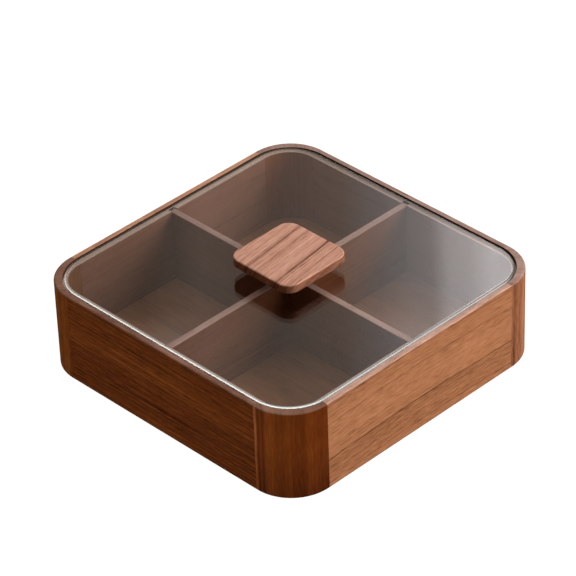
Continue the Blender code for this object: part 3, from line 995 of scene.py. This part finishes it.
def corner_block(name, tones, growth, turn, outward, depth, rim, inside, **grain):
    """The recipe with its grain upright, looking outwards through a corner."""
    return walnut(name, tones, growth, along="Z", across="X", turn=turn,
                  shift=(0, outward, depth), edge=(wall_top, rim), inside=inside, **grain)


corners = {
    "corner_front_left": corner_block(
        "walnut_front_corner", CORNER_DARK, FRONT_CORNER_GROWTH, EIGHTH_TURN, CORNER_REACH, 0,
        DARK_LIT_RIM, DARK_INSIDE, warp=1.5, ripple=1.2, streak=0.50, figure=0.20, fibre=0.50,
        foot=0.28, gloss=0.03),
    "corner_back_left": corner_block(
        "walnut_left_corner", CORNER_BROWN, LEFT_CORNER_GROWTH, -EIGHTH_TURN, -CORNER_REACH, 300,
        DARK_LIT_RIM, DARK_INSIDE, warp=2, streak=0.60, figure=0.30, gloss=0.03),
    "corner_front_right": corner_block(
        "walnut_right_corner", CORNER_ORANGE, RIGHT_CORNER_GROWTH, -EIGHTH_TURN, CORNER_REACH, 700,
        DULL_LIT_RIM, INSIDE_SHADE, warp=4, ripple=2.5),
    "corner_back_right": corner_block(
        "walnut_back_corner", CORNER_ORANGE, LEFT_CORNER_GROWTH, EIGHTH_TURN, -CORNER_REACH, 1100,
        DULL_LIT_RIM, INSIDE_SHADE, warp=4),
}
for name, finish in corners.items():
    dress(wall_pieces[name], finish)
print("dressed", ", ".join(corners))

# %% [markdown]
# ## The floor, the slats and the knob
#
# The floor's grain runs from front to back, and each slat's along the slat. The knob is the
# showpiece: pinkish, figured walnut with two thin dark lines that cross it at a slight slant.
# Its top is much paler than its sides, as painted light on the top and painted shade on the sides,
# and its two sawn ends are the darkest, as painted shade. It goes through the same recipe, with
# the pattern turned by the slant.

# %% Choose their tones and growth
FLOOR_TONES = [(0.095, 0.036, 0.015), (0.165, 0.068, 0.028), (0.235, 0.098, 0.044),
               (0.295, 0.128, 0.060), (0.355, 0.165, 0.082)]
FLOOR_GROWTH = [(-120, 0.4), (-96, 0.5), (-94, 0.3), (-90, 0.5), (-60, 0.55), (-45, 0.36),
                (-30, 0.5), (0, 0.46), (22, 0.55), (25, 0.3), (40, 0.5), (80, 0.42),
                (95, 0.55), (120, 0.4)]
# The slats' own tones are kept dark, partly as painted shade under the knob; their tops get pale
# tones as painted light.
SLAT_TONES_AND_SHADE = [(0.042, 0.011, 0.004), (0.086, 0.027, 0.011), (0.125, 0.042, 0.018),
              (0.160, 0.056, 0.026), (0.200, 0.076, 0.038)]
SLAT_GROWTH = [(0, 0.5), (20, 0.45), (22, 0.3), (26, 0.5), (45, 0.55), (60, 0.45), (70, 0.5)]
SLAT_LIT_TOP = [(0.150, 0.075, 0.055), (0.230, 0.125, 0.095), (0.300, 0.170, 0.135),
            (0.360, 0.215, 0.175), (0.420, 0.265, 0.220)]
KNOB_GROWTH = [(-32, 0.48), (-27, 0.60), (-23, 0.44), (-19, 0.62), (-16.2, 0.52), (-14.0, 0.34),
               (-13.2, 0.00), (-12.0, 0.40), (-8.5, 0.70), (-5, 0.52), (-1, 0.68), (2.5, 0.54),
               (5.5, 0.42), (9, 0.62), (12.0, 0.54), (13.4, 0.30), (14.0, 0.04), (15.0, 0.46),
               (18, 0.68), (22, 0.52), (25, 0.64), (32, 0.50)]
# Painted shade: the knob's sides and stem are a darker copy of its top's tones.
KNOB_SHADED_SIDES = [(0.080, 0.026, 0.012), (0.180, 0.066, 0.034), (0.295, 0.120, 0.068),
             (0.370, 0.162, 0.098), (0.440, 0.210, 0.132)]
KNOB_TILT = -math.radians(7.6)
KNOB_TOP_DEPTH = 0.0002
print("the knob's lines slant by", round(-math.degrees(KNOB_TILT), 1), "degrees")

# %% Dress the floor, the slats and the knob
slat_lit_top = (slat_high.z, SLAT_LIT_TOP)
dress(floor, walnut("walnut_floor", FLOOR_TONES, FLOOR_GROWTH, along="Y", across="X",
                    shift=(0, 400, 0), warp=9, streak=0.55, figure=0.35, fibre=0.50,
                    mottle=0.60, pore=0.12, gloss=0.5))
for name, along, shift in (("lower_slat", "X", (1700, 0, 0)), ("upper_slat", "Y", (0, 2100, 0))):
    dress(slats[name], walnut("walnut_" + name, SLAT_TONES_AND_SHADE, SLAT_GROWTH, along=along, shift=shift,
                              figure=0.50, fibre=0.60, pore=0.20, edge=slat_lit_top, gloss=0.3))
knob_finish = walnut("walnut_knob", KNOB_SHADED_SIDES, KNOB_GROWTH, across="Y", turn=KNOB_TILT, warp=1.0,
                     ripple=0.8, lean=0.4, shift=(0, 0, -MILLIMETRES * plate_high.z), streak=1.60,
                     width=1.1, figure=0.55, fibre=0.90, ends=plate_high.x,
                     edge=(plate_high.z - KNOB_TOP_DEPTH, KNOB_LIT_TOP))
dress(plate, knob_finish)
dress(stem, knob_finish)
tongues = [node for name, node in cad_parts.items() if name.startswith("tongue")]
for node in tongues:
    dress(node, boards["front_board"])
print("dressed the floor, two slats, the knob and", len(tongues), "tongues")

# %% [markdown]
# ## The glass and its ground rim
#
# The faces of the pane are polished and clear. Its rim was ground on a wheel, which leaves a fine
# frost: low on the round the frost scatters light and shows as a milky white line, and high on
# the round a last polish has cleared it. So the mesh gets two materials. The rim's faces are
# picked by their place, and in their tree the height decides how much light goes through and how
# rough the surface is. Light that meets the rim from inside the glass passes out almost clear.
# The pane casts no shadow and stops no scattered light, because a renderer finds its way through
# solid glass only by luck, and a real clear pane hardly darkens what lies below it.

# %% Dress the glass
GLASS_IOR = 1.52
GLASS_TINT = (0.97, 0.99, 0.98, 1)
RIM_TINT = (0.90, 0.95, 0.93, 1)
FROSTED_CLEARNESS, POLISHED_CLEARNESS = 0.03, 0.85
FROSTED_ROUGHNESS, POLISHED_ROUGHNESS = 0.30, 0.05
CLEARING_SHARES, SMOOTHING_SHARES = (0.80, 0.12), (0.70, 0.15)
SMOOTHER_WITHIN = 0.9
FLAT_REACH = 2 * GLASS_HOLE_RADIUS

clear, tree, shader = new_material("clear_glass")
feed(tree, shader, {"Base Color": GLASS_TINT, "Transmission Weight": 1, "Roughness": 0,
                    "IOR": GLASS_IOR})

ground_rim, tree, shader = new_material("ground_glass_rim")
upper = axes_of(tree, own_place(tree))["Z"]


def up_the_round(shares, low_value, high_value):
    """A value that changes between two depths below the pane's top, as shares of the round."""
    low, high = (glass_high.z - share * GLASS_EDGE_ROUND for share in shares)
    return fade(tree, upper, low, high, low_value, high_value)


clearness = up_the_round(CLEARING_SHARES, FROSTED_CLEARNESS, POLISHED_CLEARNESS)
roughness = up_the_round(SMOOTHING_SHARES, FROSTED_ROUGHNESS, POLISHED_ROUGHNESS)
within = put(tree, "NewGeometry").outputs["Backfacing"]
clearness = calc(tree, "MAXIMUM", clearness, within)
kept_share = calc(tree, "MULTIPLY_ADD", within, -SMOOTHER_WITHIN, 1.0)
roughness = calc(tree, "MULTIPLY", roughness, kept_share)
feed(tree, shader, {"Base Color": RIM_TINT, "Transmission Weight": clearness,
                    "Roughness": roughness, "IOR": GLASS_IOR})
dress(glass, clear, ground_rim)


def rounded_rim(corners):
    """Faces of the glass's rim, which lie outside its flat part and are not level."""
    reach = max(max(abs(corner.x), abs(corner.y)) for corner in corners)
    level = level_at(glass_low.z)(corners) or level_at(glass_high.z)(corners)
    return reach > FLAT_REACH and not level


with editing(glass):
    pick("FACE", rounded_rim)
    glass.active_material_index = 1
    bpy.ops.object.material_slot_assign()
glass.visible_shadow = False
glass.visible_diffuse = False
print("rim faces", sum(face.material_index for face in glass.data.polygons), "of",
      len(glass.data.polygons))

# %% [markdown]
# ## Steel, brass and silicone
#
# The screw is satin stainless steel, the insert in the knob is plain machined brass, and the two
# washers are matte silicone. They are small and mostly hidden, so their colours need no
# pattern, but a surface that shines evenly all over looks like plastic. A fine noise in the
# roughness gives each the slight unevenness of a handled part.

# %% Dress the fastening
FINE_REACH = 0.0008
SOFT_REACH = 0.0012
UNEVEN = 0.10
UNEVEN_DETAIL = 3


def simple(name, colour, metallic, roughness, reach):
    """A finish whose roughness wanders a little."""
    material, tree, shader = new_material(name)
    noise = put(tree, "TexNoise", {"Vector": own_place(tree), "Scale": 1 / reach,
                                  "Detail": UNEVEN_DETAIL})
    rough = fade(tree, noise.outputs["Fac"], 0, 1, roughness - UNEVEN, roughness + UNEVEN)
    feed(tree, shader, {"Roughness": rough, "Base Color": (*colour, 1), "Metallic": metallic})
    return material


steel = simple("satin_steel", (0.55, 0.54, 0.52), metallic=1, roughness=0.32, reach=FINE_REACH)
brass = simple("machined_brass", (0.62, 0.42, 0.15), metallic=1, roughness=0.35, reach=FINE_REACH)
silicone = simple("silicone", (0.60, 0.61, 0.59), metallic=0, roughness=0.55, reach=SOFT_REACH)
dress(screw, steel)
for washer in washers:
    dress(washer, silicone)
dress(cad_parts["threaded_insert"], brass)
print("dressed the screw, the insert and", len(washers), "washers")

# %% [markdown]
# ## The studio floor
#
# For a picture on plain white, a product stands on white paper that is lit until it shows no
# tone at all. Here the paper glows white by itself, which gives the same result without
# lamps that would also flood the box, and it is hidden from reflections so that the glass and the
# oiled wood don't mirror it.

# %% Lay the white paper
PAPER_SIZE = 12
PAPER_GLOW = 1.0
PAPER_TONE = (0.10, 0.10, 0.10, 1)
PAPER_ROUGHNESS = 0.9
WHITE = (1, 1, 1, 1)

deselect()
bpy.ops.mesh.primitive_plane_add(size=PAPER_SIZE, location=(0, 0, 0))
ground = bpy.context.object
ground.name = "studio_floor"
paper, tree, shader = new_material("white_paper")
feed(tree, shader, {"Base Color": PAPER_TONE, "Roughness": PAPER_ROUGHNESS, "Specular IOR Level": 0,
                    "Emission Color": WHITE, "Emission Strength": PAPER_GLOW})
dress(ground, paper)
ground.visible_glossy = False
print("white paper", PAPER_SIZE, "m wide")

# %% [markdown]
# ## The air around
#
# The world lights the box softly from above and hardly at all from below. A studio's real
# surroundings are three things at once: white behind the box, dim light from all round, and a
# warm half-dark that shiny things mirror. Light Path tells the rays apart, so each kind gets its
# own background: rays from the camera see white, rays that were mirrored see the warm one.

# %% Light the world
DOME = 0.24
UNDER = 0.02
MIRRORED_AIR = (0.20, 0.17, 0.14)
HORIZON_FADE = 0.05

world = bpy.data.worlds.new("studio")
bpy.context.scene.world = world
world.use_nodes = True
tree = world.node_tree
up = axes_of(tree, put(tree, "TexCoord").outputs["Generated"])["Z"]
strength = fade(tree, up, -HORIZON_FADE, HORIZON_FADE, UNDER, DOME)
dome = put(tree, "Background", {"Strength": strength, "Color": WHITE})
mirrored = put(tree, "Background", {"Strength": calc(tree, "DIVIDE", strength, DOME),
                                    "Color": (*MIRRORED_AIR, 1)})
white = put(tree, "Background", {"Strength": 1, "Color": WHITE})
path = put(tree, "LightPath").outputs
seen = dome
for ray, background in (("Is Glossy Ray", mirrored), ("Is Camera Ray", white)):
    seen = put(tree, "MixShader", {0: path[ray], 1: seen.outputs[0], 2: background.outputs[0]})
feed(tree, tree.nodes["World Output"], {"Surface": seen.outputs[0]})
print("dome", DOME, "above and", UNDER, "below")

# %% [markdown]
# ## The soft lights
#
# A softbox is a large lamp behind white cloth, and in Blender a rectangular area light. The main
# one is like a window at the right, low enough to leave the left side of the box dark. A weak one
# overhead fills the compartments. Two more do small jobs that a photographer does with
# reflectors: a warm one low at the left makes the ground rim of the glass shine and lights nothing
# else, and one from behind falls over the back wall on the floor of the near compartments. Light
# linking keeps each to its own piece, and the low one is hidden from rays that the pane
# mirrors or lets through, or it would show from other sides. The brightness is given as
# radiance, so that a lamp may change its size and still look equally bright.

# %% Hang the lamps
BOX_MIDDLE = 0.05
WARM_LAMP = (1.00, 0.92, 0.90)


def toward(azimuth, elevation):
    """A direction from the box, by its angle round from +X and its angle above the floor."""
    azimuth, elevation = math.radians(azimuth), math.radians(elevation)
    return Vector((math.cos(azimuth) * math.cos(elevation), math.sin(azimuth) * math.cos(elevation),
                   math.sin(elevation)))


def softbox(name, azimuth, elevation, distance, width, height, radiance, target=BOX_MIDDLE):
    light = bpy.data.lights.new(name, "AREA")
    light.shape = "RECTANGLE"
    light.size = width
    light.size_y = height
    light.energy = radiance * math.pi * width * height
    lamp = bpy.data.objects.new(name, light)
    bpy.context.scene.collection.objects.link(lamp)
    direction = toward(azimuth, elevation)
    place = Matrix.Translation(Vector((0, 0, target)) + direction * distance)
    lamp.matrix_world = place @ direction.to_track_quat("Z", "Y").to_matrix().to_4x4()
    lamp.visible_camera = False
    return lamp


def light_linked(lamp, state, piece):
    """Let a lamp light only one piece, or all but it."""
    group = bpy.data.collections.new(lamp.name + "_link")
    group.objects.link(piece)
    group.collection_objects[0].light_linking.link_state = state
    lamp.light_linking.receiver_collection = group


window = softbox("window", -45, 28, distance=1.7, width=1.5, height=1.2, radiance=6.4)
light_linked(window, "EXCLUDE", glass)
overhead = softbox("overhead", 0, 90, distance=1.5, width=1.0, height=1.0, radiance=1.2)
overhead.visible_glossy = False
rim_lamp = softbox("glass_rim_lamp", -156, 15, distance=1.7, width=0.7, height=0.7, radiance=46.5)
rim_lamp.data.color = WARM_LAMP
rim_lamp.visible_glossy = False
rim_lamp.visible_transmission = False
light_linked(rim_lamp, "INCLUDE", glass)
floor_lamp = softbox("lamp_behind", 40, 44, distance=1.6, width=0.7, height=0.7, radiance=6.5)
light_linked(floor_lamp, "INCLUDE", floor)
bpy.context.scene.view_settings.view_transform = "Standard"
print("lamps", [light.name for light in bpy.data.lights])

# %% [markdown]
# ## What the glass mirrors
#
# A flat pane mirrors whatever stands in the one direction that bounces into the lens, and that
# veil is what tells the eye that there is glass. Here it is a bright window at one side that
# fades into a dim, warm wall. So a panel is hung where the pane looks, as large as the pane's
# whole view, with a colour ramp across it for the window and the fade. The camera and
# scattered light don't see it, so it shows only in what shines.

# %% Hang the mirrored panel
PANE_HEIGHT = 0.07
PANEL_STRENGTH = 3.0
WINDOW_WHITE = (1.00, 0.95, 0.97)
WARM_WALL = (1.00, 0.75, 0.65)
PANEL_STOPS = [(0.27, 0.97, WINDOW_WHITE), (0.295, 0.69, WINDOW_WHITE), (0.318, 0.61, WINDOW_WHITE),
               (0.338, 0.32, WINDOW_WHITE), (0.40, 0.16, WINDOW_WHITE), (0.44, 0.11, WARM_WALL),
               (0.53, 0.06, WARM_WALL), (0.60, 0.09, WARM_WALL), (0.665, 0.01, WARM_WALL)]

panel = softbox("mirrored_panel", 46, 35, distance=1.5, width=1.0, height=1.0, radiance=1.0,
                target=PANE_HEIGHT)
panel.visible_diffuse = False
panel.data.use_nodes = True
tree = panel.data.node_tree
across = axes_of(tree, put(tree, "NewGeometry").outputs["Parametric"])["X"]
stops = [(place, tuple(share * part for part in colour)) for place, share, colour in PANEL_STOPS]
feed(tree, tree.nodes["Emission"], {"Color": ramp(tree, across, stops), "Strength": PANEL_STRENGTH})
print("panel with", len(PANEL_STOPS), "stops")
